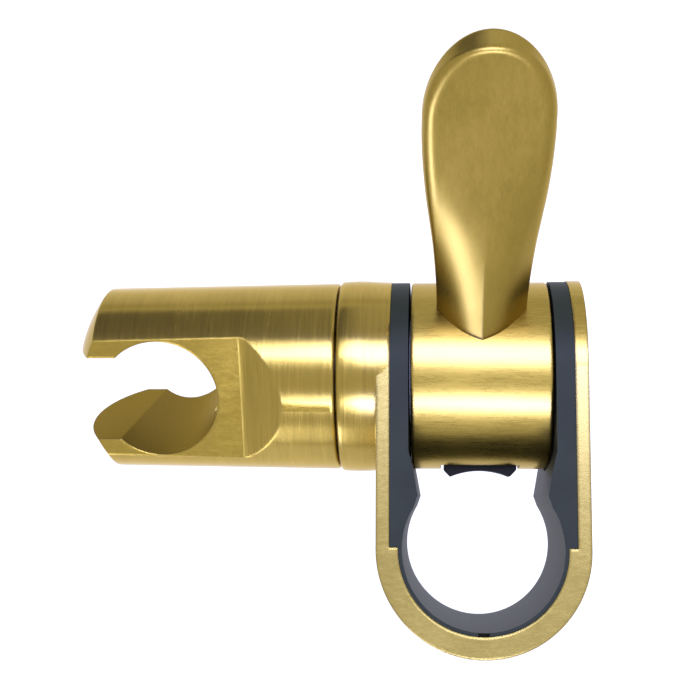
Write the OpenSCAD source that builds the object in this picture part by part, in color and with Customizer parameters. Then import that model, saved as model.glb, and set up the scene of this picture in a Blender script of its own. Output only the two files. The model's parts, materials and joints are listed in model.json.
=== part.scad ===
// Shower-rail slider bracket with a clamp lever and a tilting handset cradle.
// Millimetres. Origin: centre of the rail bore at mid height. +Z runs up the rail,
// -Y is the user side, +Y is the wall side, and the cradle points to +X.

/* [Rail and liner] */
// radius of the liner's rail bore, for a 25 mm rail
bore_r = 12.75; // [12.6:0.05:13.2]
// outside radius of the liner's round half
liner_r = 13.34; // [13.2:0.01:13.9]
// half width of the liner outside its arms
liner_half = 14.7; // [14.5:0.05:15.5]
// half gap between the liner's arms, beside the barrel
liner_gap = 11.75; // [11.7:0.05:12.5]

/* [Slider body] */
// radius of the body's round back
body_r = 16.9; // [16.5:0.05:18.5]
// half height of the body along the rail
body_h = 16.2; // [14:0.1:18]
// half width of the slot that holds the liner's arms
slot_half = 14.75; // [14.6:0.05:15.6]
// distance from the rail's axis to the pivot axis
pivot_d = 29.0; // [28:0.1:30]
// largest radius of the crowned collar
collar_r = 16.45; // [15.8:0.05:16.6]
// end of the collar along X
collar_x = 23.4; // [22:0.1:25]

/* [Clamp lever] */
// radius of the lever's barrel
barrel_r = 16.0; // [15:0.1:17]
// half length of the barrel
barrel_half = 11.4; // [11:0.05:11.6]
// radius of the chamber in the barrel
chamber_r = 13.0; // [12.5:0.1:13.2]
// half length of the chamber
chamber_half = 7.35; // [7:0.05:7.6]
// half length of the window in the chamber's wall
window_half = 6.5; // [6.3:0.05:7.3]
// angle of the lever above the user side, at rest
lever_rise = 50; // [40:1:60]
// distance from the pivot axis to the lever's tip
lever_len = 65.1; // [60:0.1:75]
// lean of the blade toward the -X arm, in degrees
lever_lean = 0.6; // [0:0.1:2]
// largest half width of the blade
blade_half = 9.75; // [9:0.05:11]
// half thickness of the blade at its root
root_half_t = 6.7; // [5:0.1:7]
// half thickness of the blade at its tip
tip_half_t = 2.1; // [1.5:0.1:3]
// radius of the pivot spindle
spindle_r = 4.0; // [3.5:0.1:4.5]

/* [Brake] */
// travel of the brake shoe over the lever's quarter turn
shoe_travel = 0.8; // [0.5:0.1:1.2]
// radius of the brake pad's face about the rail's axis, released
pad_face_r = 12.68; // [12.66:0.01:12.9]
// radius of the cam's track where the released shoe rests
track_r = 11.0; // [10.6:0.1:11.4]

/* [Cradle] */
// first X of the cradle, at the running joint
cradle_x = 23.65; // [23.5:0.05:24.5]
// radius at the joint
cradle_r0 = 16.05; // [15.5:0.05:16.2]
// radius that the slight taper reaches at cradle_end
cradle_r1 = 15.42; // [14.5:0.02:16]
// X where the taper ends, beyond the rounded end
cradle_end = 70.0; // [66:0.1:72]
// radius of the ball that rounds the free end
dome_r = 22.8; // [18:0.1:30]
// centre of that ball before the tilt
dome_centre = [46.0, -0.9, 0.8];
// turn of the cradle about the pivot axis, at rest
cradle_tilt = 24; // [0:1:45]
// height of the flat facet above the cradle's axis
facet_h = 11.9; // [10:0.1:13]
// X where the ramp that ends the facet reaches the outside
ramp_top = 32.1; // [30:0.1:36]
// X where that ramp meets the facet
ramp_foot = 38.7; // [36:0.1:42]
// X of the centre of the handset seat
seat_x = 53.3; // [50:0.1:56]
// radius of the seat at the facet
seat_r1 = 9.9; // [9:0.05:11]
// radius of the seat at the far side
seat_r0 = 8.5; // [7.5:0.1:9.5]
// half width of the hose mouth
mouth_half = 7.1; // [6:0.1:8]

/* [Hidden] */
fit = 0.03;
run = 0.05;
eps = 0.01;
window_lo = -105;
window_hi = 15;
flat_half = 3.0;
brass = [0.72, 0.60, 0.34];
dark_plastic = [0.24, 0.26, 0.30];
rubber = [0.06, 0.07, 0.09];
steel = [0.70, 0.70, 0.72];
acetal = [0.88, 0.87, 0.83];
hub_r = 8.5;
hub_end = 33.0;
web_x = 36.0;
spigot_r = 5.2;
dowel_d = 6.85;

// which node to show

// Moves children to the pivot axis and lays their Z along X.
module on_pivot() {
    translate([0, -pivot_d, 0]) rotate([0, 90, 0]) children();
}

// Disc or tube about the pivot axis between two X positions.
module pivot_disc(x0, x1, r, hole = 0) {
    translate([x0, 0, 0]) on_pivot() difference() {
        cylinder(h = x1 - x0, r = r, $fn = 96);
        if (hole > 0) translate([0, 0, -1]) cylinder(h = x1 - x0 + 2, r = hole, $fn = 96);
    }
}

// Extrudes a drawing given as [distance toward +Y, height] about the pivot axis, along X.
module pivot_plate(x0, x1) {
    translate([x0, -pivot_d, 0]) rotate([90, 0, 90]) linear_extrude(height = x1 - x0) children();
}

// Sector of a disc between two angles measured from +Y toward +Z.
module sector(r, a0, a1) {
    polygon(concat([[0, 0]], [for (i = [0:12]) let (a = a0 + (a1 - a0) * i / 12) [r * cos(a), r * sin(a)]]));
}

// Half-round ended side outline that trims the arms of the body and of the liner.
module side_trim(r, h) {
    difference() {
        translate([-60, -60, -30]) cube([120, 120, 60]);
        difference() {
            translate([-70, -70 - pivot_d, -40]) cube([140, 70, 80]);
            translate([-80, 0, 0]) on_pivot() cylinder(h = 160, r = r, $fn = 128);
        }
        translate([-70, -70, h]) cube([140, 140, 40]);
        translate([-70, -70, -h - 40]) cube([140, 140, 40]);
    }
}

// Back and arms of the body, before the slot is cut.
module body_block() {
    intersection() {
        union() {
            translate([0, 0, -body_h]) cylinder(h = 2 * body_h, r = body_r, $fn = 160);
            translate([-body_r, -pivot_d - body_h, -body_h]) cube([2 * body_r, pivot_d + body_h, 2 * body_h]);
        }
        side_trim(body_h, body_h);
    }
}

// Crowned collar that flares out of the body's arm and carries the cradle.
module collar() {
    on_pivot() rotate_extrude($fn = 160) polygon([[0, slot_half - 1], [body_h - 0.02, slot_half - 1],
        [body_h - 0.02, slot_half], [body_h + 0.08, body_r], [body_h + 0.22, body_r + 2], [collar_r, body_r + 3.6],
        [collar_r - 0.04, body_r + 4.8], [collar_r - 0.16, collar_x - 0.9], [collar_r - 0.36, collar_x - 0.25],
        [collar_r - 0.62, collar_x], [0, collar_x]]);
}

module slider_body() {
    color(brass) difference() {
        union() {
            body_block();
            collar();
        }
        translate([0, 0, -30]) cylinder(h = 60, r = liner_r + fit, $fn = 160);
        translate([-slot_half, -60.3, -30]) cube([2 * slot_half, 60, 60]);
        pivot_disc(-body_r - 1, body_r + 3, spindle_r + fit);
        pivot_disc(-body_r - 1, -body_r + 1.1, 6.2);
        pivot_disc(collar_x - 4, collar_x + 1, spigot_r + fit);
        translate([collar_x - 3, -pivot_d + dowel_d, 0]) rotate([0, 90, 0]) cylinder(h = 4, r = 1 + fit, $fn = 32);
    }
}

// Outline of the space inside the liner, seen along the rail.
module liner_space() {
    circle(r = bore_r, $fn = 160);
    polygon([[-10.9, -6.6], [-10.25, -8.45], [-11.1, -13.1], [-liner_gap, -15.5], [-liner_gap, -60],
        [liner_gap, -60], [liner_gap, -15.5], [11.1, -13.1], [10.25, -8.45], [10.9, -6.6]]);
}

module rail_liner() {
    color(dark_plastic) difference() {
        intersection() {
            union() {
                translate([0, 0, -body_h]) cylinder(h = 2 * body_h, r = liner_r, $fn = 160);
                translate([-liner_half, -60.35, -body_h]) cube([2 * liner_half, 60, 2 * body_h]);
            }
            side_trim(body_h - 0.15, body_h);
        }
        translate([0, 0, -30]) linear_extrude(height = 60) liner_space();
        translate([0, 0, body_h - 0.4]) cylinder(h = 0.41, r1 = bore_r, r2 = bore_r + 0.4, $fn = 160);
        translate([0, 0, -body_h - eps]) cylinder(h = 0.41, r1 = bore_r + 0.4, r2 = bore_r, $fn = 160);
        pivot_disc(-liner_gap, liner_gap, barrel_r + 0.3);
        pivot_disc(-liner_half - 1, liner_half + 1, spindle_r + fit);
        translate([-0.9, bore_r - 0.5, body_h - 1.2]) cube([1.8, 1.05, 2]);
    }
}

module pivot_spindle() {
    color(steel) difference() {
        union() {
            pivot_disc(-body_r + 0.05, -body_r + 1.05, 6.1);
            pivot_disc(-body_r + 1, 19.0, spindle_r);
        }
        for (s = [-1, 1]) translate([-6.4, -pivot_d - 6, s > 0 ? flat_half : -flat_half - 4]) cube([12.8, 12, 4]);
        translate([-body_r - 1, -pivot_d - 7, -0.6]) cube([1.75, 14, 1.2]);
    }
}

// The two thin washers between the barrel's ends and the liner's arms.
module barrel_shims() {
    color(acetal) {
        pivot_disc(barrel_half + run, liner_gap - run, 9.5, spindle_r + run);
        pivot_disc(-liner_gap + run, -barrel_half - run, 9.5, spindle_r + run);
    }
}

module cradle_hub() {
    color(steel) difference() {
        union() {
            pivot_disc(collar_x - 3.9, collar_x + 0.1, spigot_r);
            pivot_disc(collar_x + fit, hub_end, hub_r);
        }
        for (x = [26.4, 29.4]) pivot_disc(x, x + 1.6, hub_r + 1, hub_r - 1.2);
        pivot_disc(collar_x - 5, hub_end + 1, 2.5);
        translate([collar_x - 1, -pivot_d + dowel_d, 0]) rotate([0, 90, 0]) cylinder(h = 3.05, r = 1 + fit, $fn = 32);
    }
}

module hub_dowel() {
    color(steel) translate([collar_x - 2.9, -pivot_d + dowel_d, 0]) rotate([0, 90, 0]) cylinder(h = 4.8, r = 1, $fn = 32);
}

module lever_barrel() {
    color(brass) difference() {
        union() {
            pivot_disc(-barrel_half + 0.4, barrel_half - 0.4, barrel_r);
            for (s = [0, 1]) mirror([s, 0, 0]) translate([barrel_half - 0.4, 0, 0]) on_pivot()
                cylinder(h = 0.4, r1 = barrel_r, r2 = barrel_r - 0.4, $fn = 128);
        }
        pivot_disc(-chamber_half, barrel_half + 1, chamber_r);
        pivot_disc(-barrel_half - 1, -chamber_half + 1, 6 + fit);
        pivot_plate(-window_half, window_half) sector(20, window_lo, window_hi);
        handle_screw_holes(2.1);
    }
}

module barrel_end_plate() {
    color(brass) pivot_disc(chamber_half + fit, barrel_half, chamber_r - fit, 6 + fit);
}

// Plain bearings in the barrel's two end walls.
module barrel_bushes() {
    color(acetal) {
        pivot_disc(chamber_half + 0.1, barrel_half, 6, spindle_r + run);
        pivot_disc(-barrel_half, -chamber_half - 0.1, 6, spindle_r + run);
    }
}

// Moves children so that their +Z is the blade's length and their Y is its thickness.
module along_lever() {
    translate([0, -pivot_d, 0]) rotate([90 - lever_rise, 0, 0]) children();
}

module handle_screw_holes(r) {
    for (x = [-4.2, 4.2]) along_lever() translate([x, 0, 8]) cylinder(h = 12, r = r, $fn = 32);
}

// Where the blade's straight-sided part gives way to its elliptic tip.
tip_start = 52;

// Half outline of the blade: [half width, distance from the pivot axis].
blade_side = concat([[7.3, 8], [7.36, 16.3], [7.5, 21], [7.75, 25], [8.15, 29.7], [8.65, 34], [9.22, 39], [9.62, 44.4],
    [blade_half, 49]], [for (a = [0:9:90]) [(blade_half - 0.05) * cos(a), tip_start + (lever_len - tip_start) * sin(a)]]);

// Half of the blade's ridged section, from edge to edge over the ridge: [half width, half thickness].
ridge_side = [[-11, 2.0], [-9.7, 2.15], [-7.36, 2.45], [-5.5, 3.6], [-3.7, 5.3], [-1.85, 6.25], [0, 6.8], [1.85, 6.25],
    [3.7, 5.3], [5.5, 3.6], [7.36, 2.45], [9.7, 2.15], [11, 2.0]];

module blade_plan() {
    polygon(concat(blade_side, [for (i = [len(blade_side) - 2:-1:0]) [-blade_side[i][0], blade_side[i][1]]]));
}

// Half of the blade's tapering side view: [half thickness, distance from the pivot axis].
taper = [[root_half_t, 8], [root_half_t, 14.5], [5.75, 20], [4.8, 26], [3.95, 32], [3.2, 38], [2.55, 45],
    [tip_half_t, tip_start], [tip_half_t, lever_len + 1]];

// The blade: its outline, its tapering side view and its ridged section, crossed.
module blade() {
    rotate([0, -lever_lean, 0]) intersection() {
        rotate([90, 0, 0]) translate([0, 0, -12]) linear_extrude(height = 24) blade_plan();
        translate([-20, 0, 0]) rotate([90, 0, 90]) linear_extrude(height = 40)
            polygon(concat(taper, [for (i = [len(taper) - 1:-1:0]) [-taper[i][0], taper[i][1]]]));
        linear_extrude(height = 80) polygon(concat(ridge_side, [for (q = ridge_side) [-q[0], -q[1]]]));
    }
}

module lever_handle() {
    color(brass) difference() {
        along_lever() blade();
        pivot_disc(-20, 20, barrel_r + fit);
        along_lever() for (x = [-4.2, 4.2]) translate([x, 0, 10]) cylinder(h = 15, r = 1.75 + fit, $fn = 32);
    }
}

// The two sunk screws that tie the cam, the barrel and the handle together.
module handle_screws() {
    color(steel) for (x = [-4.2, 4.2]) along_lever() translate([x, 0, 0]) difference() {
        union() {
            translate([0, 0, 10.65]) cylinder(h = 1.15, r = 2.7, $fn = 48);
            translate([0, 0, 11.8]) cylinder(h = 12.7, r = 1.75, $fn = 32);
        }
        translate([0, 0, 10]) cylinder(h = 1.4, r = 1.2, $fn = 6);
    }
}

// Radius of the cam's track at a barrel angle: a spiral, so the shoe moves in step with the lever.
function track(a) = track_r - shoe_travel * (180 - a) / 90;

module lever_cam() {
    color(steel) difference() {
        pivot_plate(-chamber_half + 0.1, chamber_half - 0.1) difference() {
            intersection() {
                circle(r = chamber_r - fit, $fn = 128);
                sector(30, 78, 194);
            }
            polygon(concat([for (a = [69:6:207]) [track(a) / cos(3) * cos(a), track(a) / cos(3) * sin(a)]],
                [[0, -1]]));
        }
        handle_screw_holes(1.75 + fit);
        for (x = [-4.2, 4.2]) along_lever() translate([x, 0, 8]) cylinder(h = 3.85, r = 2.8, $fn = 48);
    }
}

// Side view of the brake shoe: a frame round the spindle with a rounded nose on the cam's track.
module carrier_side() {
    nose_y = -track_r + fit + 2;
    difference() {
        polygon(concat([for (a = [270:-15:90]) [nose_y + 2 * cos(a), 2 * sin(a)]],
            [[-8.2, 4.6], [-6.5, 5.4], [7, 5.4], [9.5, 2.9], [12.6, 2.9],
            [12.6, -2.9], [9.5, -2.9], [7, -5.4], [-6.5, -5.4], [-8.2, -4.6]]));
        translate([-4.9, -3.6]) square([9.0, 7.2]);
        translate([-7.2, -2.0]) square([3, 4.0]);
    }
}

module shoe_carrier() {
    color(steel) difference() {
        pivot_plate(-6, 6) carrier_side();
        for (x = [-3.5, 3.5]) translate([x, -pivot_d + 9, 0]) rotate([-90, 0, 0]) cylinder(h = 5, r = 1 + fit, $fn = 32);
    }
}

// The two acetal strips that slide on the spindle's flats.
module carrier_guides() {
    color(acetal) for (z = [flat_half + run, -flat_half - run - 0.5]) translate([-6, -pivot_d - 4.85, z]) cube([12, 8.9, 0.5]);
}

module brake_pad() {
    color(rubber) difference() {
        translate([0, -pivot_d, -2.9]) linear_extrude(height = 5.8) polygon([[-6.1, 12.65], [6.1, 12.65], [6.1, 16.2],
            [4.75, 17.6], [-4.75, 17.6], [-6.1, 16.2]]);
        translate([0, 0, -10]) cylinder(h = 20, r = pad_face_r, $fn = 160);
        for (x = [-3.5, 3.5]) translate([x, -pivot_d + 12, 0]) rotate([-90, 0, 0]) cylinder(h = 2.2, r = 1 + fit, $fn = 32);
    }
}

// Rivets moulded into the pad that hold it on the carrier.
module pad_rivets() {
    color(steel) for (x = [-3.5, 3.5]) translate([x, -pivot_d + 9.2, 0]) rotate([-90, 0, 0]) cylinder(h = 4.8, r = 1, $fn = 32);
}

// Bowed leaf that pushes the shoe back from the rail when the lever is lifted.
module return_spring() {
    color(steel) translate([0, -pivot_d - 6.35, 0]) linear_extrude(height = 1.6, center = true) polygon([
        [-5, -0.75], [-3, -0.45], [0, 0.95], [3, -0.45], [5, -0.75], [5, -0.45], [3, -0.15], [0, 1.3],
        [-3, -0.15], [-5, -0.45]]);
}

// Turns the cradle and what turns with it about the pivot axis.
module tilted() {
    translate([0, -pivot_d, 0]) rotate([-cradle_tilt, 0, 0]) children();
}

// Outside of the cradle, straight up, before the facet and seat are cut.
module cradle_blank() {
    intersection() {
        rotate([0, 90, 0]) rotate_extrude($fn = 160)
            polygon([[0, cradle_x], [cradle_r0, cradle_x], [cradle_r1, cradle_end], [0, cradle_end]]);
        translate(dome_centre) rotate([0, 90, 0]) rotate_extrude($fn = 160)
            polygon(concat([[0, -30], [dome_r, -30]], [for (a = [0:6:90]) [dome_r * cos(a), dome_r * sin(a)]]));
    }
}

// Space above the facet, with the ramp that rises from it toward the joint.
module facet_cut() {
    rise = (cradle_r0 - facet_h) / (ramp_foot - ramp_top);
    start = ramp_top - 3;
    rotate([90, 0, 0]) linear_extrude(height = 40, center = true) polygon([[90, facet_h], [ramp_foot, facet_h],
        [start, facet_h + rise * (ramp_foot - start)], [start, 30], [90, 30]]);
}

module cradle() {
    color(brass) tilted() difference() {
        cradle_blank();
        facet_cut();
        translate([seat_x, 0, -20]) cylinder(h = 20 + facet_h + eps, r1 = seat_r0 - (seat_r1 - seat_r0) * 0.28,
            r2 = seat_r1, $fn = 128);
        translate([seat_x, -mouth_half, -20]) cube([30, 2 * mouth_half, 40]);
        translate([cradle_x - 1, 0, 0]) rotate([0, 90, 0]) cylinder(h = web_x - cradle_x + 1, r = hub_r + 1.2, $fn = 96);
        rotate([0, 90, 0]) cylinder(h = 60, r = 3.0, $fn = 48);
        translate([web_x + 3, 0, 0]) rotate([0, 90, 0]) cylinder(h = 20, r = 6.0, $fn = 64);
    }
}

// Acetal bearing pressed into the cradle; it turns on the hub.
module cradle_bush() {
    color(acetal) pivot_disc(cradle_x + 0.1, hub_end - 0.2, hub_r + 1.2 - fit, hub_r + run);
}

// Rubber rings in the hub's grooves that damp the tilt.
module hub_rings() {
    color(rubber) for (x = [27.2, 30.2]) translate([x, 0, 0]) on_pivot()
        rotate_extrude($fn = 96) translate([hub_r - 0.6, 0]) circle(r = 0.55, $fn = 24);
}

module friction_disc() {
    color(rubber) pivot_disc(hub_end + run, hub_end + 1.0, hub_r, 3.1);
}

module thrust_washer() {
    color(steel) pivot_disc(hub_end + 1.05, web_x - 0.05, hub_r + 1.1, 3.1);
}

// Two cupped spring washers under the screw's head.
module spring_washers() {
    color(steel) for (x = [web_x + 3.05, web_x + 4.0]) translate([x, 0, 0]) on_pivot() difference() {
        cylinder(h = 0.85, r1 = 5.6, r2 = 5.0, $fn = 64);
        translate([0, 0, -1]) cylinder(h = 3, r = 2.75, $fn = 48);
        translate([0, 0, -eps]) cylinder(h = 0.35, r1 = 5.0, r2 = 2.75, $fn = 64);
    }
}

module cradle_screw() {
    color(steel) difference() {
        union() {
            pivot_disc(collar_x - 3.5, web_x + 5.2, 2.45);
            pivot_disc(web_x + 4.9, web_x + 7.5, 4.6);
        }
        translate([web_x + 5.7, -pivot_d, 0]) rotate([0, 90, 0]) cylinder(h = 4, r = 2.3, $fn = 6);
    }
}

slider_body();
rail_liner();
pivot_spindle();
barrel_shims();
cradle_hub();
hub_dowel();
lever_barrel();
barrel_end_plate();
barrel_bushes();
lever_handle();
handle_screws();
lever_cam();
shoe_carrier();
carrier_guides();
brake_pad();
pad_rivets();
return_spring();
cradle();
cradle_bush();
hub_rings();
friction_disc();
thrust_washer();
spring_washers();
cradle_screw();
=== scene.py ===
"""Looks for the shower-rail slider bracket: brushed brass body, barrel, lever and cradle, dark liner."""

import json
import math

import bmesh
import bpy
from mathutils import Matrix, Vector


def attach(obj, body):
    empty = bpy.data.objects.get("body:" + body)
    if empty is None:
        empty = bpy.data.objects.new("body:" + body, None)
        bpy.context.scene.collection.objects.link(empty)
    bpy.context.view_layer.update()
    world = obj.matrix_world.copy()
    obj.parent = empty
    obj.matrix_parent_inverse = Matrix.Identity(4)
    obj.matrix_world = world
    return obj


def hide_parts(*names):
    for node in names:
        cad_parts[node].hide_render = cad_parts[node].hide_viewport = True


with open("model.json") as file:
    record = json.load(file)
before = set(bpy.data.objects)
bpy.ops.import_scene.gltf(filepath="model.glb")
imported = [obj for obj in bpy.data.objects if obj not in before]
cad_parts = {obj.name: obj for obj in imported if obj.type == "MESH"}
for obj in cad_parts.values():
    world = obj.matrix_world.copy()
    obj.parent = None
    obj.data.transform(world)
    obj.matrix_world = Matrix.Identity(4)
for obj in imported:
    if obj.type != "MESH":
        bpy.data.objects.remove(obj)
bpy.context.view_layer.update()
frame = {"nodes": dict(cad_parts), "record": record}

MM = 0.001

# Sizes in millimetres, the same as the part's own.
BORE_R = 12.75
LINER_R = 13.34
LINER_HALF = 14.7
LINER_GAP = 11.75
BODY_R = 16.89
BODY_H = 16.2
SLOT_HALF = 14.75
PIVOT_D = 29.0
COLLAR_R = 16.45
COLLAR_X = 23.4
BARREL_R = 16.0
BARREL_HALF = 11.4
CHAMBER_R = 13.0
CHAMBER_HALF = 7.35
WINDOW = (-105.0, 15.0)
WINDOW_HALF = 6.5
LEVER_RISE = 50.0
LEVER_LEN = 65.1
LEVER_SKEW = 0.0105
SPINDLE_R = 4.0
SPINDLE_HEAD_R = 6.2
BUSH_R = 6.0
HUB_SPIGOT_R = 5.23
PAD_FACE_R = 12.68
PAD_HALF = 6.1
PAD_HALF_H = 2.9
PAD_BACK = 12.65
PAD_FRONT = 17.6
RIVET_X = 3.5
RIVET_R = 1.03
CRADLE_X = 23.65
CRADLE_R0 = 16.05
CRADLE_R1 = 15.42
CRADLE_END = 70.0
DOME_CENTRE = (46.0, -0.9, 0.8)
# 0.03 under the CAD's radius, so that the finer mesh stays inside the CAD box.
DOME_R = 22.77
CRADLE_TILT = 24.0
FACET_H = 11.9
RAMP_TOP = 32.1
RAMP_FOOT = 38.7
RAMP_BLEND = 3.0
SEAT_X = 53.3
SEAT_R1 = 9.9
SEAT_R0 = 8.5
MOUTH_HALF = 7.1
HUB_R = 8.5
WEB_X = 36.0
SCREW_HOLE_R = 3.0
SCREW_HEAD_R = 6.0

ROUND = 192


# ---------------------------------------------------------------- mesh tools


def new_object(name, verts, faces):
    """A mesh object from points in millimetres."""
    mesh = bpy.data.meshes.new(name)
    mesh.from_pydata([Vector(v) * MM for v in verts], [], faces)
    mesh.validate()
    obj = bpy.data.objects.new(name, mesh)
    bpy.context.scene.collection.objects.link(obj)
    fix = bmesh.new()
    fix.from_mesh(mesh)
    bmesh.ops.recalc_face_normals(fix, faces=fix.faces)
    fix.to_mesh(mesh)
    fix.free()
    return obj


def distinct(items):
    """The items in their order, each one once."""
    return list(dict.fromkeys(items))


def loft(low, high):
    """Closed solid between two rings that have the same number of points."""
    n = len(low)
    faces = [list(range(n))[::-1], list(range(n, 2 * n))]
    faces += [[i, (i + 1) % n, n + (i + 1) % n, n + i] for i in range(n)]
    return new_object("prism", low + high, faces)


def prism(outline, lo, hi, place):
    """Extrudes a closed outline from lo to hi; place turns (a, b, height) into a point."""
    low, high = ([place(a, b, h) for a, b in outline] for h in (lo, hi))
    return loft(low, high)


def flat(a, b, h):
    """Outline in the XY plane, extruded along Z."""
    return (a, b, h)


def across(a, b, h):
    """Outline in the YZ plane, extruded along X."""
    return (h, a, b)


def endwise(a, b, h):
    """Outline in the XZ plane, extruded along Y."""
    return (a, h, b)


def block(lo, hi):
    outline = [(lo[0], lo[1]), (hi[0], lo[1]), (hi[0], hi[1]), (lo[0], hi[1])]
    return prism(outline, lo[2], hi[2], flat)


def circle(cx, cy, r, n=ROUND):
    steps = [2 * math.pi * i / n for i in range(n)]
    return [(cx + r * math.cos(a), cy + r * math.sin(a)) for a in steps]


def arc(cx, cy, r, a0, a1, n):
    """Points on an arc between two angles in degrees, both ends included."""
    steps = [math.radians(a0 + (a1 - a0) * i / n) for i in range(n + 1)]
    return [(cx + r * math.cos(a), cy + r * math.sin(a)) for a in steps]


def revolve(profile, centre_y=0.0, n=ROUND):
    """Solid of revolution about a line along X: the profile is (x, radius), its ends on the axis."""
    verts, faces = [], []
    rings = []
    for x, r in profile:
        if r < 1e-6:
            rings.append([len(verts)] * n)
            verts.append((x, centre_y, 0.0))
            continue
        rings.append(list(range(len(verts), len(verts) + n)))
        for i in range(n):
            a = 2 * math.pi * i / n
            verts.append((x, centre_y + r * math.cos(a), r * math.sin(a)))
    for low, high in zip(rings, rings[1:]):
        for i in range(n):
            j = (i + 1) % n
            face = distinct([low[i], low[j], high[j], high[i]])
            if len(face) > 2:
                faces.append(face)
    return new_object("revolved", verts, faces)


def freeze(obj):
    """Applies the modifiers."""
    graph = bpy.context.evaluated_depsgraph_get()
    made = bpy.data.meshes.new_from_object(obj.evaluated_get(graph), depsgraph=graph)
    obj.modifiers.clear()
    obj.data = made


def rod(lo, hi, r, centre_y=0.0, n=ROUND):
    """Plain cylinder about a line along X."""
    return revolve([(lo, 0), (lo, r), (hi, r), (hi, 0)], centre_y, n)


def merge_near(obj, distance):
    """Joins points closer than the distance and drops the slivers that a cut leaves."""
    merged = bmesh.new()
    merged.from_mesh(obj.data)
    bmesh.ops.remove_doubles(merged, verts=merged.verts, dist=distance * MM)
    bmesh.ops.dissolve_degenerate(merged, edges=merged.edges, dist=distance * MM)
    merged.to_mesh(obj.data)
    merged.free()


def combine(obj, tool, operation="DIFFERENCE"):
    """Boolean of obj with tool; the tool is removed."""
    step = obj.modifiers.new("step", "BOOLEAN")
    step.operation = operation
    step.solver = "EXACT"
    step.object = tool
    freeze(obj)
    bpy.data.objects.remove(tool)
    merge_near(obj, 0.0001)


def soften(obj, width, segments, angle):
    """Rounds the edges sharper than the angle."""
    step = obj.modifiers.new("round", "BEVEL")
    step.width = width * MM
    step.segments = segments
    step.limit_method = "ANGLE"
    step.angle_limit = math.radians(angle)
    step.use_clamp_overlap = True
    step.miter_outer = "MITER_ARC"
    freeze(obj)


def soften_by(obj, width, share, segments=4, angle=40.0):
    """Rounds the edges sharper than the angle; share gives each edge its part of the width."""
    mesh = obj.data
    weights = mesh.attributes.new("bevel_weight_edge", "FLOAT", "EDGE")
    look = bmesh.new()
    look.from_mesh(mesh)
    look.edges.ensure_lookup_table()
    for edge in look.edges:
        sharp = len(edge.link_faces) == 2 and edge.calc_face_angle() > math.radians(angle)
        middle = (edge.verts[0].co + edge.verts[1].co) / (2 * MM)
        weights.data[edge.index].value = share(middle) if sharp else 0.0
    look.free()
    step = obj.modifiers.new("round", "BEVEL")
    step.width = width * MM
    step.segments = segments
    step.limit_method = "WEIGHT"
    step.use_clamp_overlap = True
    freeze(obj)
    if "bevel_weight_edge" in obj.data.attributes:
        obj.data.attributes.remove(obj.data.attributes["bevel_weight_edge"])


def turn(obj, degrees, centre_y):
    """Turns the mesh about the line along X at centre_y."""
    centre = Matrix.Translation((0, centre_y * MM, 0))
    spin = Matrix.Rotation(math.radians(degrees), 4, "X")
    obj.data.transform(centre @ spin @ centre.inverted())


def finish_piece(obj, name, body, replaced, angle=28.0):
    """Names, shades and places a piece, and hides the CAD nodes it stands for."""
    obj.name = name
    obj.data.polygons.foreach_set("use_smooth", [True] * len(obj.data.polygons))
    obj.data.set_sharp_from_angle(angle=math.radians(angle))
    weigh = obj.modifiers.new("weigh", "WEIGHTED_NORMAL")
    weigh.keep_sharp = True
    freeze(obj)
    obj.data.name = name
    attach(obj, body)
    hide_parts(*replaced)
    return obj


# ---------------------------------------------------------------- brush directions


def brush_uv(obj, rule):
    """Writes a UV map whose U runs across the brushing; rule gives (across, along) for a point of a face."""
    mesh = obj.data
    layer = mesh.uv_layers.new(name="brush")
    for poly in mesh.polygons:
        centre, normal = poly.center / MM, poly.normal
        for loop in poly.loop_indices:
            p = mesh.vertices[mesh.loops[loop].vertex_index].co / MM
            layer.data[loop].uv = rule(p, centre, normal)


def wrapped(angle, near):
    return near + (angle - near + math.pi) % (2 * math.pi) - math.pi


def along_x(p, centre, normal):
    """Brushed along X, and along Y where a face looks along X."""
    if abs(normal.x) > 0.8:
        return (p.z * 0.1, p.y * 0.1)
    side = Vector((0, -normal.z, normal.y)).normalized()
    return (p.dot(side) * 0.1, p.x * 0.1)


def round_pivot(p, centre, normal):
    """Brushed round the pivot's line, as on a lathe."""
    y0, z0 = centre.y + PIVOT_D, centre.z
    near = math.atan2(z0, y0)
    angle = wrapped(math.atan2(p.z, p.y + PIVOT_D), near)
    r = math.hypot(y0, z0)
    if abs(normal.x) > 0.9:
        return (math.hypot(p.z, p.y + PIVOT_D) * 0.1, angle * r * 0.1)
    return (p.x * 0.1, angle * r * 0.1)


def body_rule(p, centre, normal):
    """The collar is brushed round the pivot, the rest of the body along X."""
    return (round_pivot if on_collar(centre) else along_x)(p, centre, normal)


def on_collar(centre):
    inside = math.hypot(centre.y + PIVOT_D, centre.z) < COLLAR_R + 0.3
    return centre.x > SLOT_HALF + 0.1 and inside


# ---------------------------------------------------------------- materials


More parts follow.
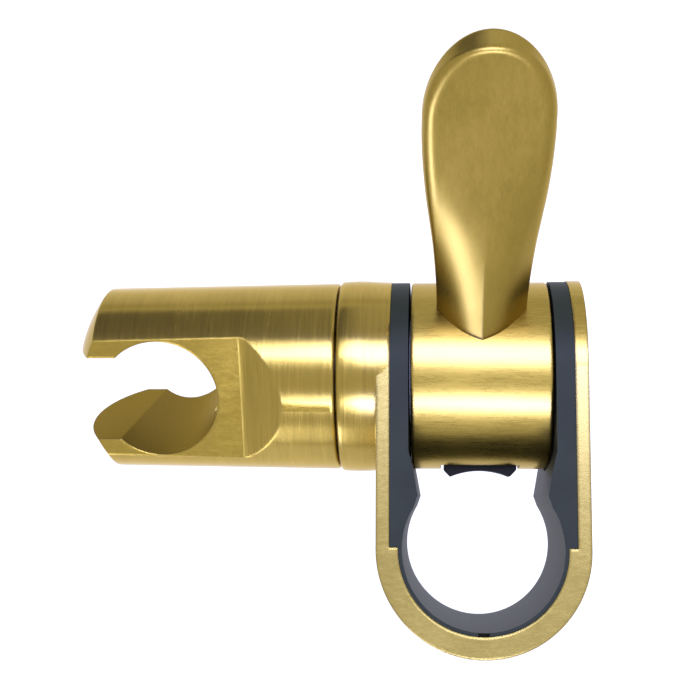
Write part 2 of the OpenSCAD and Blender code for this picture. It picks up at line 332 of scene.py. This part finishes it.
class Nodes:
    """Short names for building a node tree."""

    def __init__(self, name):
        self.material = bpy.data.materials.new(name)
        self.material.use_nodes = True
        self.tree = self.material.node_tree
        self.tree.nodes.clear()

    def add(self, kind, **settings):
        node = self.tree.nodes.new(kind)
        for key, value in settings.items():
            setattr(node, key, value)
        return node

    def link(self, source, target):
        self.tree.links.new(source, target)

    def noise(self, vector, scale, detail=2.0, roughness=0.5):
        node = self.add("ShaderNodeTexNoise")
        node.inputs["Scale"].default_value = scale
        node.inputs["Detail"].default_value = detail
        node.inputs["Roughness"].default_value = roughness
        self.link(vector, node.inputs["Vector"])
        return node.outputs["Fac"]

    def remap(self, value, low, high, to_low, to_high):
        node = self.add("ShaderNodeMapRange")
        for index, number in enumerate((low, high, to_low, to_high), start=1):
            node.inputs[index].default_value = number
        self.link(value, node.inputs[0])
        return node.outputs["Result"]

    def mix_colour(self, factor, first, second):
        node = self.add("ShaderNodeMix", data_type="RGBA")
        node.inputs["A"].default_value = (*first, 1.0)
        node.inputs["B"].default_value = (*second, 1.0)
        self.link(factor, node.inputs["Factor"])
        return node.outputs["Result"]

    def math(self, operation, first, second):
        node = self.add("ShaderNodeMath", operation=operation)
        self.link(first, node.inputs[0])
        if isinstance(second, (int, float)):
            node.inputs[1].default_value = second
        else:
            self.link(second, node.inputs[1])
        return node.outputs["Value"]

    def principled(self):
        """A Principled shader, already joined to the output."""
        shader = self.add("ShaderNodeBsdfPrincipled")
        out = self.add("ShaderNodeOutputMaterial")
        self.link(shader.outputs["BSDF"], out.inputs["Surface"])
        return shader

    def bump(self, height, strength, distance):
        """A bump node; distance is in metres."""
        node = self.add("ShaderNodeBump")
        node.inputs["Strength"].default_value = strength
        node.inputs["Distance"].default_value = distance
        self.link(height, node.inputs["Height"])
        return node

    def stretched(self, scale):
        """Object coordinates scaled unevenly, so that noise draws out into streaks."""
        where = self.add("ShaderNodeTexCoord")
        stretch = self.add("ShaderNodeMapping")
        stretch.inputs["Scale"].default_value = scale
        self.link(where.outputs["Object"], stretch.inputs["Vector"])
        return stretch.outputs["Vector"]


# How far the polishing has rounded the edges, in millimetres.
EDGE_WEAR = 0.6
# The darkest and the lightest tone of each brass finish.
BRUSHED_TONES = ((0.27, 0.186, 0.026), (0.38, 0.265, 0.046))
SATIN_TONES = ((0.255, 0.174, 0.021), (0.305, 0.21, 0.03))
# The pale tones, paler and whiter than the brushed ones, are painted sheen on the flat faces of the body.
PALE_SHEEN_TONES = ((0.305, 0.228, 0.056), (0.365, 0.276, 0.074))
FLAT_TONES = ((0.30, 0.206, 0.030), (0.36, 0.25, 0.042))
# The bore's tones are darker than the rest as painted shade inside the seat and the mouth.
SHADED_BORE_TONES = ((0.14, 0.096, 0.030), (0.19, 0.13, 0.042))


def brushed_brass(name, streak, roughness, anisotropy, depth, tones=BRUSHED_TONES, coat=0.45):
    """Lacquered satin brass. streak is the stretch of the brush lines: small along them, large across."""
    dark, light = tones
    n = Nodes(name)
    shader = n.principled()
    fine = n.noise(n.stretched(streak), 1.0, detail=3.0, roughness=0.65)
    coarse = n.noise(n.stretched(tuple(s * 0.3 for s in streak)), 1.0, detail=2.0)
    patch = n.noise(n.stretched((90.0, 90.0, 90.0)), 1.0, detail=2.0)
    lines = n.math("ADD", n.math("MULTIPLY", fine, 0.6), n.math("MULTIPLY", coarse, 0.4))
    tone = n.math("ADD", n.math("MULTIPLY", lines, 0.7), n.math("MULTIPLY", patch, 0.3))
    colour = n.mix_colour(n.remap(tone, 0.34, 0.66, 0.0, 1.0), dark, light)
    n.link(colour, shader.inputs["Base Color"])
    n.link(n.remap(tone, 0.34, 0.66, roughness - 0.04, roughness + 0.05), shader.inputs["Roughness"])
    shader.inputs["Metallic"].default_value = 1.0
    shader.inputs["Specular Tint"].default_value = (1.0, 0.82, 0.42, 1.0)
    shader.inputs["Anisotropic"].default_value = anisotropy
    shader.inputs["Coat Weight"].default_value = coat
    shader.inputs["Coat Roughness"].default_value = roughness * 0.9
    bump = n.bump(lines, depth, 0.0002)
    worn = n.add("ShaderNodeBevel", samples=6)
    worn.inputs["Radius"].default_value = EDGE_WEAR * MM
    n.link(worn.outputs["Normal"], bump.inputs["Normal"])
    n.link(bump.outputs["Normal"], shader.inputs["Normal"])
    tangent = n.add("ShaderNodeTangent", direction_type="UV_MAP", uv_map="brush")
    n.link(tangent.outputs["Tangent"], shader.inputs["Tangent"])
    return n.material


def moulded(name, dark, light, roughness, grain_scale, grain_depth):
    """Moulded plastic or rubber: a fine spark-eroded grain and slight changes of tone."""
    n = Nodes(name)
    shader = n.principled()
    shader.inputs["Specular IOR Level"].default_value = 0.22
    grain = n.noise(n.stretched((grain_scale,) * 3), 1.0, detail=3.0)
    cloud = n.noise(n.stretched((120.0, 120.0, 120.0)), 1.0, detail=2.0)
    colour = n.mix_colour(n.remap(cloud, 0.3, 0.7, 0.0, 1.0), dark, light)
    n.link(colour, shader.inputs["Base Color"])
    n.link(n.remap(grain, 0.3, 0.7, roughness - 0.05, roughness + 0.08), shader.inputs["Roughness"])
    n.link(n.bump(grain, grain_depth, 0.0001).outputs["Normal"], shader.inputs["Normal"])
    return n.material


def turned_steel(name):
    """Steel with fine turning lines round the pivot."""
    n = Nodes(name)
    shader = n.principled()
    lines = n.noise(n.stretched((5200.0, 300.0, 300.0)), 1.0, detail=2.0)
    patch = n.noise(n.stretched((260.0, 260.0, 260.0)), 1.0, detail=3.0)
    colour = n.mix_colour(n.remap(patch, 0.3, 0.7, 0.0, 1.0), (0.42, 0.42, 0.43), (0.56, 0.56, 0.57))
    n.link(colour, shader.inputs["Base Color"])
    n.link(n.remap(lines, 0.3, 0.7, 0.22, 0.36), shader.inputs["Roughness"])
    shader.inputs["Metallic"].default_value = 1.0
    n.link(n.bump(lines, 0.08, 0.0001).outputs["Normal"], shader.inputs["Normal"])
    return n.material


BRASS_X = brushed_brass("brass_brushed_along_x", (800.0, 8000.0, 8000.0), 0.28, 0.3, 0.02)
# Linished flat faces; their paler, whiter tones are painted sheen.
BRASS_FLAT_SHEEN = brushed_brass("brass_linished_flat_painted_sheen", (1500.0, 5200.0, 5200.0), 0.26, 0.1, 0.03, PALE_SHEEN_TONES)
BRASS_FACET = brushed_brass("brass_facet", (1500.0, 5200.0, 5200.0), 0.13, 0.0, 0.05, FLAT_TONES, 0.3)
BRASS_TURNED = brushed_brass("brass_brushed_round", (4600.0, 160.0, 160.0), 0.24, 0.75, 0.08)
BRASS_SATIN = brushed_brass("brass_satin", (3200.0, 1100.0, 1100.0), 0.33, 0.0, 0.06, SATIN_TONES)
# Bored finish, rough and uncoated; its darker tones are painted shade for the seat and the mouth.
BRASS_BORE_SHADED = brushed_brass("brass_bored_painted_shade", (3000.0, 900.0, 900.0), 0.42, 0.0, 0.10, SHADED_BORE_TONES, 0.0)
LINER_PLASTIC = moulded("liner_plastic", (0.007, 0.010, 0.005), (0.011, 0.015, 0.008), 0.55, 9000.0, 0.10)
RUBBER = moulded("rubber", (0.002, 0.002, 0.0005), (0.004, 0.003, 0.001), 0.7, 7000.0, 0.2)
ACETAL = moulded("acetal", (0.70, 0.69, 0.63), (0.80, 0.79, 0.74), 0.4, 8000.0, 0.08)
STEEL = turned_steel("turned_steel")


def wear(obj, *materials):
    """Gives the object its materials."""
    obj.data.materials.clear()
    for material in materials:
        obj.data.materials.append(material)


def wear_by_face(obj, choose, *materials):
    """Gives the object its materials; choose gives each face its place in the list."""
    wear(obj, *materials)
    for face in obj.data.polygons:
        face.material_index = choose(face)


# ---------------------------------------------------------------- slider body


def side_outline(r, back):
    """Side view in the YZ plane: a half-round end about the pivot, running back toward the wall."""
    turned = arc(-PIVOT_D, 0, r, 90, 270, ROUND // 2)
    return turned + [(back, -r), (back, r)]


def body_outline(half, front):
    """Round back about the rail and straight arms, in the XY plane."""
    return arc(0, 0, half, 0, 180, ROUND // 2) + [(-half, front), (half, front)]


def rim_share(p):
    """The outer edge is rounder about the pivot end than along the rail end."""
    return 1.0 - 0.62 * min(max((p.y + PIVOT_D - 2) / 14, 0), 1)


def make_body():
    body = prism(body_outline(BODY_R, -60), -BODY_H, BODY_H, flat)
    combine(body, prism(side_outline(BODY_H, 40), -40, 40, across), "INTERSECT")
    soften_by(body, 1.15, rim_share)
    slot = [(-SLOT_HALF, -0.3), (-SLOT_HALF, -70), (SLOT_HALF, -70), (SLOT_HALF, -0.3)]
    combine(body, prism(slot, -30, 30, flat))
    combine(body, prism(circle(0, 0, LINER_R + 0.03), -30, 30, flat))
    crown = [(SLOT_HALF, 0), (SLOT_HALF, BODY_H - 0.02), (BODY_R, BODY_H + 0.08), (BODY_R + 2, BODY_H + 0.22),
             (BODY_R + 3.6, COLLAR_R), (BODY_R + 4.8, COLLAR_R - 0.04), (COLLAR_X - 0.7, COLLAR_R - 0.08),
             (COLLAR_X - 0.25, COLLAR_R - 0.18), (COLLAR_X, COLLAR_R - 0.42), (COLLAR_X, 0)]
    combine(body, revolve(crown, -PIVOT_D, 256), "UNION")
    combine(body, rod(-BODY_R - 1, BODY_R + 3, SPINDLE_R + 0.03, -PIVOT_D))
    combine(body, rod(-BODY_R - 1, -BODY_R + 1.1, SPINDLE_HEAD_R, -PIVOT_D))
    combine(body, rod(COLLAR_X - 4, COLLAR_X + 1, HUB_SPIGOT_R, -PIVOT_D))
    soften(body, 0.1, 2, 38)
    return body


def body_look(face):
    """0 brushed along X, 1 turned for the collar, 2 linished for the flat ends, paler and whiter as painted
    sheen.
    """
    if abs(face.normal.z) > 0.97 and face.area > 2e-6:
        return 2
    return 1 if on_collar(face.center / MM) else 0


# ---------------------------------------------------------------- liner

# Half of the gap between the bore and the arms, as (half width, distance in front of the rail's line).
NECK = [(10.9, 6.6), (10.25, 8.45), (11.1, 13.1), (LINER_GAP, 15.5), (LINER_GAP, 70)]


def make_liner():
    liner = prism(body_outline(LINER_R, -0.35), -BODY_H, BODY_H, flat)
    arms = [(-LINER_HALF, -0.35), (-LINER_HALF, -60), (LINER_HALF, -60), (LINER_HALF, -0.35)]
    combine(liner, prism(arms, -BODY_H, BODY_H, flat), "UNION")
    combine(liner, prism(side_outline(BODY_H - 0.15, 40), -40, 40, across), "INTERSECT")
    space = [(-w, -d) for w, d in NECK] + [(w, -d) for w, d in NECK[::-1]]
    combine(liner, prism(space, -30, 30, flat))
    combine(liner, prism(circle(0, 0, BORE_R), -30, 30, flat))
    combine(liner, rod(-LINER_GAP, LINER_GAP, BARREL_R + 0.3, -PIVOT_D))
    combine(liner, rod(-LINER_HALF - 1, LINER_HALF + 1, SPINDLE_R + 0.03, -PIVOT_D))
    soften(liner, 0.28, 3, 35)
    combine(liner, block((-0.9, BORE_R + 0.05, BODY_H - 1.5), (0.9, BORE_R + 0.75, BODY_H + 2)))
    return liner


# ---------------------------------------------------------------- barrel


def sector(r, a0, a1):
    return [(-PIVOT_D, 0)] + arc(-PIVOT_D, 0, r, a0, a1, 24)


def make_barrel():
    half, r = BARREL_HALF, BARREL_R
    barrel = rod(-half, half, r, -PIVOT_D)
    soften(barrel, 0.45, 4, 40)
    combine(barrel, rod(-CHAMBER_HALF, half + 1, CHAMBER_R, -PIVOT_D))
    combine(barrel, rod(-half - 1, -half + 6, BUSH_R + 0.03, -PIVOT_D))
    combine(barrel, prism(sector(22, *WINDOW), -WINDOW_HALF, WINDOW_HALF, across))
    soften(barrel, 0.15, 2, 35)
    return barrel


# ---------------------------------------------------------------- lever blade


def smooth_table(table, x):
    """Cubic interpolation through (x, value) rows."""
    if x <= table[0][0]:
        return table[0][1]
    if x >= table[-1][0]:
        return table[-1][1]
    for i in range(len(table) - 1):
        (x1, y1), (x2, y2) = table[i], table[i + 1]
        if x1 <= x <= x2:
            x0, y0 = table[i - 1] if i > 0 else (2 * x1 - x2, 2 * y1 - y2)
            x3, y3 = table[i + 2] if i + 2 < len(table) else (2 * x2 - x1, 2 * y2 - y1)
            m1, m2 = (y2 - y0) / (x2 - x0), (y3 - y1) / (x3 - x1)
            h = x2 - x1
            t = (x - x1) / h
            return ((2 * t**3 - 3 * t**2 + 1) * y1 + (t**3 - 2 * t**2 + t) * h * m1
                    + (3 * t**2 - 2 * t**3) * y2 + (t**3 - t**2) * h * m2)
    return table[-1][1]


# Half width of the blade along its length, up to where the elliptic tip begins.
BLADE_WIDTH = [(10, 7.3), (16.3, 7.36), (21, 7.5), (25, 7.75), (29.7, 8.15), (34, 8.65), (39, 9.22),
               (44.4, 9.62), (49, 9.75), (52, 9.7)]
TIP_START = 52.0
# Half thickness on the middle line and at the rim, and how sharp the ridge is.
BLADE_RIDGE = [(10, 7.0), (14.5, 6.7), (20, 5.75), (26, 4.75), (32, 3.75), (38, 2.95), (44, 2.45), (52, 2.0),
               (58, 1.85)]
BLADE_RIM = [(10, 0.75), (14.5, 0.75), (20, 0.9), (26, 1.3), (32, 1.78), (38, 2.25), (44, 2.28), (52, 2.12),
             (66, 2.1)]
BLADE_CREASE = [(10, 0.34), (20, 0.38), (28, 0.40), (34, 0.34), (40, 0.16), (46, 0.0), (66, 0.0)]
BLADE_FALL = 2.6
# The rim's roundness at the tip and what the sides add to it, and its lean at the sides and at the tip.
RIM_RADIUS = 0.8
RIM_SIDE_EXTRA = 1.6
RIM_LEAN = 0.06
RIM_TIP_LEAN = 0.33


def blade_edge():
    """One side of the blade's outline from root to tip, as (half width, length, middle-line length)."""
    points = []
    s = 10.0
    while s < TIP_START - 1e-6:
        points.append((smooth_table(BLADE_WIDTH, s), s, s))
        s += 0.75
    wide = smooth_table(BLADE_WIDTH, TIP_START)
    tall = LEVER_LEN - TIP_START
    steps = 40
    for i in range(steps + 1):
        a = math.pi / 2 * i / steps
        middle = TIP_START + (LEVER_LEN - 9.0 - TIP_START) * math.sin(a)
        points.append((wide * math.cos(a) if i < steps else 0.0, TIP_START + tall * math.sin(a), middle))
    return points


def blade_height(middle, u):
    """Half thickness at the share u of the way from the middle line to the rim."""
    ridge, rim = smooth_table(BLADE_RIDGE, middle), smooth_table(BLADE_RIM, middle)
    crease = smooth_table(BLADE_CREASE, middle)
    fall = crease * u + (1 - crease) * u**BLADE_FALL
    return ridge + (rim - ridge) * fall


def blade_column(outline, k, side):
    """Points from the middle line over one face to the rim's mid plane; side is 1 above, -1 below.

    The rim leans in toward the upper face, so the outline is that of the lower one."""
    w, s, middle = outline[k]
    before, after = outline[max(k - 1, 0)], outline[min(k + 1, len(outline) - 1)]
    run = Vector((after[0] - before[0], after[1] - before[1])).normalized()
    inward = Vector((-run.y, run.x))
    at_tip = max(-inward.y, 0.0)
    rim = blade_height(middle, 1.0)
    radius = min(RIM_RADIUS + RIM_SIDE_EXTRA * (1 - at_tip), rim * 0.8)
    lean = 2 * rim * (RIM_LEAN + RIM_TIP_LEAN * at_tip**2)
    crease = smooth_table(BLADE_CREASE, middle)
    drop = (blade_height(middle, 0.0) - rim) * (crease + (1 - crease) * BLADE_FALL)
    start = math.atan(max(drop, 0.0) / max(math.hypot(w, s - middle), 1.0))
    level = rim - radius * math.cos(start)
    halfway = lean * level / (2 * rim)
    inset = halfway * (1 + side)
    edge = Vector((w, s))
    inner = edge + inward * (radius * (1 - math.sin(start)) + inset)
    centre = Vector((0, middle))
    column = [(0.0, middle, side * blade_height(middle, 0.0))]
    for i in range(1, 19):
        u = i / 18
        p = centre + (inner - centre) * u
        column.append((p.x, p.y, side * blade_height(middle, u)))
    for i in range(1, 7):
        a = start + (math.pi / 2 - start) * i / 6
        p = inner - inward * radius * (math.sin(a) - math.sin(start))
        column.append((p.x, p.y, side * (level + radius * math.cos(a))))
    for i in range(1, 4):
        p = edge + inward * (inset + (halfway - inset) * i / 3)
        column.append((p.x, p.y, side * level * (1 - i / 3)))
    return column


def make_blade():
    """The paddle lever: ridged at its root, flattening to a slightly dished paddle with a round rim."""
    edge = blade_edge()
    outline = edge + [(-w, s, m) for w, s, m in edge[-2::-1]]
    columns = {side: [blade_column(outline, k, side) for k in range(len(outline))] for side in (1, -1)}
    verts, index = [], {}

    def vertex(p):
        key = tuple(round(c, 5) for c in p)
        if key not in index:
            index[key] = len(verts)
            verts.append(p)
        return index[key]

    faces = []
    for side in (1, -1):
        grid = [[vertex(p) for p in column] for column in columns[side]]
        for a, b in zip(grid, grid[1:]):
            for i in range(len(a) - 1):
                face = distinct([a[i], b[i], b[i + 1], a[i + 1]])
                if len(face) > 2:
                    faces.append(face)
    root = columns[1][-1][::-1] + columns[1][0][1:] + columns[-1][0][::-1] + columns[-1][-1][1:]
    faces.append(distinct([vertex(p) for p in root]))
    tilt = math.radians(LEVER_RISE)
    lift = Vector((0, math.sin(tilt), math.cos(tilt)))
    out = Vector((0, -math.cos(tilt), math.sin(tilt)))
    base = Vector((0, -PIVOT_D, 0))
    placed = [base + Vector((-x - LEVER_SKEW * s, 0, 0)) + out * s + lift * t for x, s, t in verts]
    blade = new_object("blade", placed, faces)
    combine(blade, rod(-20, 20, BARREL_R + 0.03, -PIVOT_D, 384))
    soften(blade, 0.1, 2, 55)
    return blade


# ---------------------------------------------------------------- cradle


def dome():
    """Round-ended bar whose end, a little off the cradle's own line, rounds the cradle's free end."""
    x, y, z = DOME_CENTRE
    steps = [math.pi * i / 144 for i in range(72)]
    quarter = [(x + DOME_R * math.sin(a), DOME_R * math.cos(a)) for a in steps] + [(x + DOME_R, 0)]
    bar = revolve([(0, 0), (0, DOME_R)] + quarter, 0.0, 192)
    bar.data.transform(Matrix.Translation((0, y * MM, z * MM)))
    return bar


def make_cradle():
    """Modelled straight up about X through the origin, then tilted and moved to the pivot."""
    profile = [(CRADLE_X, 0), (CRADLE_X, CRADLE_R0 - 0.45), (CRADLE_X + 0.15, CRADLE_R0 - 0.16)]
    for i in range(17):
        x = CRADLE_X + 0.45 + (CRADLE_END - CRADLE_X - 0.45) * i / 16
        profile.append((x, CRADLE_R0 - 0.01 + (CRADLE_R1 - CRADLE_R0 + 0.01) * i / 16))
    profile.append((CRADLE_END, 0))
    cradle = revolve(profile, 0.0, 256)
    combine(cradle, dome(), "INTERSECT")
    rise = (CRADLE_R0 - FACET_H) / (RAMP_FOOT - RAMP_TOP)
    bend = math.atan(rise)
    reach = RAMP_BLEND * math.tan(bend / 2)
    blend = arc(RAMP_FOOT + reach, FACET_H + RAMP_BLEND, RAMP_BLEND, 270 - math.degrees(bend), 270, 6)
    outline = [(RAMP_TOP - 3, CRADLE_R0 + 3 * rise)] + blend + [(90, FACET_H), (90, 30), (RAMP_TOP - 3, 30)]
    combine(cradle, prism(outline, -30, 30, endwise))
    small = SEAT_R0 - (SEAT_R1 - SEAT_R0) * 0.28
    taper = (SEAT_R1 - small) / (20 + FACET_H)
    rings = [[(SEAT_X + x, y, z) for x, y in circle(0, 0, small + taper * (z + 20))] for z in (-20.0, 20.0)]
    combine(cradle, loft(*rings))
    combine(cradle, block((SEAT_X, -MOUTH_HALF, -30), (90, MOUTH_HALF, 30)))
    combine(cradle, rod(CRADLE_X - 1, WEB_X, HUB_R + 1.2))
    combine(cradle, rod(WEB_X - 1, WEB_X + 4, SCREW_HOLE_R))
    combine(cradle, rod(WEB_X + 3, WEB_X + 12, SCREW_HEAD_R))
    merge_near(cradle, 0.02)
    soften(cradle, 0.45, 3, 24)
    cradle.data.transform(Matrix.Translation((0, -PIVOT_D * MM, 0)))
    turn(cradle, -CRADLE_TILT, -PIVOT_D)
    return cradle


def cradle_look(face):
    """0 turned on the outside, 1 polished for the facet, 2 bored for the seat and the mouth, its brass
    darkened as painted shade.
    """
    tilt = math.radians(CRADLE_TILT)
    facet_normal = Vector((0, math.sin(tilt), math.cos(tilt)))
    jaw_way = Vector((0, math.cos(tilt), -math.sin(tilt)))
    if face.normal.dot(facet_normal) > 0.999:
        return 1
    p = face.center / MM + Vector((0, PIVOT_D, 0))
    aside = p.dot(jaw_way)
    near_seat = math.hypot(aside, p.x - SEAT_X) < SEAT_R1 + 0.15
    in_seat = near_seat and p.dot(facet_normal) < FACET_H - 0.3
    in_mouth = p.x > SEAT_X and abs(aside) < MOUTH_HALF + 0.05
    return 2 if in_seat or in_mouth else 0


# ---------------------------------------------------------------- brake pad


def make_pad():
    """Chamfered block, hollowed to the rail's curve; half is (half width, distance from the pivot)."""
    half = [(PAD_HALF, PAD_BACK), (PAD_HALF, PAD_FRONT - 1.4), (PAD_HALF - 1.35, PAD_FRONT)]
    outline = [(w, d - PIVOT_D) for w, d in half] + [(-w, d - PIVOT_D) for w, d in half[::-1]]
    pad = prism(outline, -PAD_HALF_H, PAD_HALF_H, flat)
    combine(pad, prism(circle(0, 0, PAD_FACE_R), -10, 10, flat))
    for x in (-RIVET_X, RIVET_X):
        hole = [(x + a, c) for a, c in circle(0, 0, RIVET_R, 32)]
        combine(pad, prism(hole, -PIVOT_D + 12, -PIVOT_D + 14.2, endwise))
    soften(pad, 0.18, 2, 35)
    return pad


# ---------------------------------------------------------------- pieces

body = finish_piece(make_body(), "body_shell", "slider", ["slider_body"])
brush_uv(body, body_rule)
wear_by_face(body, body_look, BRASS_X, BRASS_TURNED, BRASS_FLAT_SHEEN)

liner = finish_piece(make_liner(), "rail_liner_shell", "slider", ["rail_liner"])
wear(liner, LINER_PLASTIC)

barrel = finish_piece(make_barrel(), "barrel_shell", "lever", ["lever_barrel"])
brush_uv(barrel, along_x)
wear(barrel, BRASS_X)

blade = finish_piece(make_blade(), "lever_blade", "lever", ["lever_handle"], 16)
brush_uv(blade, along_x)
wear(blade, BRASS_SATIN)

cradle = finish_piece(make_cradle(), "cradle_shell", "cradle", ["cradle"])
brush_uv(cradle, round_pivot)
wear_by_face(cradle, cradle_look, BRASS_TURNED, BRASS_FACET, BRASS_BORE_SHADED)

pad = finish_piece(make_pad(), "brake_pad_block", "shoe", ["brake_pad"])
wear(pad, RUBBER)

SLOT_LOOKS = {
    "steel": STEEL,
    "acetal": ACETAL,
    "rubber": RUBBER,
    "brass": BRASS_X,
    "liner_plastic": LINER_PLASTIC,
}
for row in frame["record"]["subparts"]:
    node = frame["nodes"][row["node"]]
    wear(node, SLOT_LOOKS[row["material_slot"]])

# ---------------------------------------------------------------- stage, light and camera


def stage_material(name, colour):
    n = Nodes(name)
    shader = n.principled()
    shader.inputs["Base Color"].default_value = (*colour, 1.0)
    shader.inputs["Roughness"].default_value = 0.9
    shader.inputs["Specular IOR Level"].default_value = 0.1
    return n.material


floor = prism([(-4000, -4000), (4000, -4000), (4000, 4000), (-4000, 4000)], -181, -180, flat)
floor.name = "floor"
wear(floor, stage_material("pale_floor", (0.74, 0.72, 0.58)))

TARGET = Vector((0.018, -0.029, 0.0))
LAMP_DISTANCE = 1.1
# Cool, so that the highlights on the brass come out pale.
LAMP_COLOUR = (1.0, 1.1, 2.15)


def toward(angle):
    """A way out from the pivot's line: 0 is away from the wall, 90 up the rail, 180 toward the wall."""
    a = math.radians(angle)
    return Vector((0, -math.cos(a), math.sin(a)))


def soft_box(name, x, angle, length, span, radiance, spin):
    """A rectangular soft light along X; span is the angle it fills as seen from the object."""
    data = bpy.data.lights.new(name, "AREA")
    data.shape = "RECTANGLE"
    data.color = LAMP_COLOUR
    data.size = length
    data.size_y = 2 * LAMP_DISTANCE * math.tan(math.radians(span / 2))
    data.energy = radiance * data.size * data.size_y * math.pi
    lamp = bpy.data.objects.new(name, data)
    way = toward(angle)
    lamp.location = TARGET + way * LAMP_DISTANCE + Vector((x, 0, 0))
    side = Vector((1, 0, 0))
    up = way.cross(side)
    turn_in = Matrix((side, up, way)).transposed() @ Matrix.Rotation(math.radians(spin), 3, "Z")
    lamp.rotation_mode = "QUATERNION"
    lamp.rotation_quaternion = turn_in.to_quaternion()
    lamp.visible_camera = False
    bpy.context.scene.collection.objects.link(lamp)
    return lamp


def dark_card(name, lo, hi, y):
    """A dark card standing across Y that keeps the white room out of the brass."""
    card = prism([(lo[0], y), (hi[0], y), (hi[0], y - 2), (lo[0], y - 2)], lo[1], hi[1], flat)
    card.name = name
    wear(card, stage_material("card_black", (0.14, 0.14, 0.14)))
    card.visible_camera = False
    card.visible_shadow = False
    return card


soft_box("key", x=-0.06, angle=69, length=0.6, span=22, radiance=10.0, spin=-35)
soft_box("second", x=-0.07, angle=129.5, length=0.42, span=14, radiance=14.0, spin=-40)
soft_box("low", x=0.62, angle=174, length=0.6, span=24, radiance=6.5, spin=0)
dark_card("card", (100, 60), (1300, 1000), -830)

world = bpy.data.worlds.new("studio")
bpy.context.scene.world = world
world.use_nodes = True
backdrop = world.node_tree.nodes["Background"]
backdrop.inputs["Color"].default_value = (1.0, 1.0, 1.0, 1.0)
backdrop.inputs["Strength"].default_value = 1.0

camera_data = bpy.data.cameras.new("camera")
camera_data.sensor_width = 36.0
camera_data.lens = 63.31
camera_data.clip_start = 0.01
camera_data.clip_end = 20.0
camera = bpy.data.objects.new("camera", camera_data)
bpy.context.scene.collection.objects.link(camera)
camera.location = Vector((6.709, -8.235, 210.838)) * MM
# Small turns off the view straight down the rail, in radians.
yaw, pitch, roll = 0.0757, 0.1212, 0.0053
facing = Matrix.Rotation(yaw, 3, "Y") @ Matrix.Rotation(pitch, 3, "X") @ Matrix.Rotation(roll, 3, "Z")
upside = Matrix(((-1, 0, 0), (0, -1, 0), (0, 0, 1)))
camera.rotation_mode = "QUATERNION"
camera.rotation_quaternion = (upside @ facing).to_quaternion()
bpy.context.scene.camera = camera
bpy.context.scene.view_settings.view_transform = "Standard"
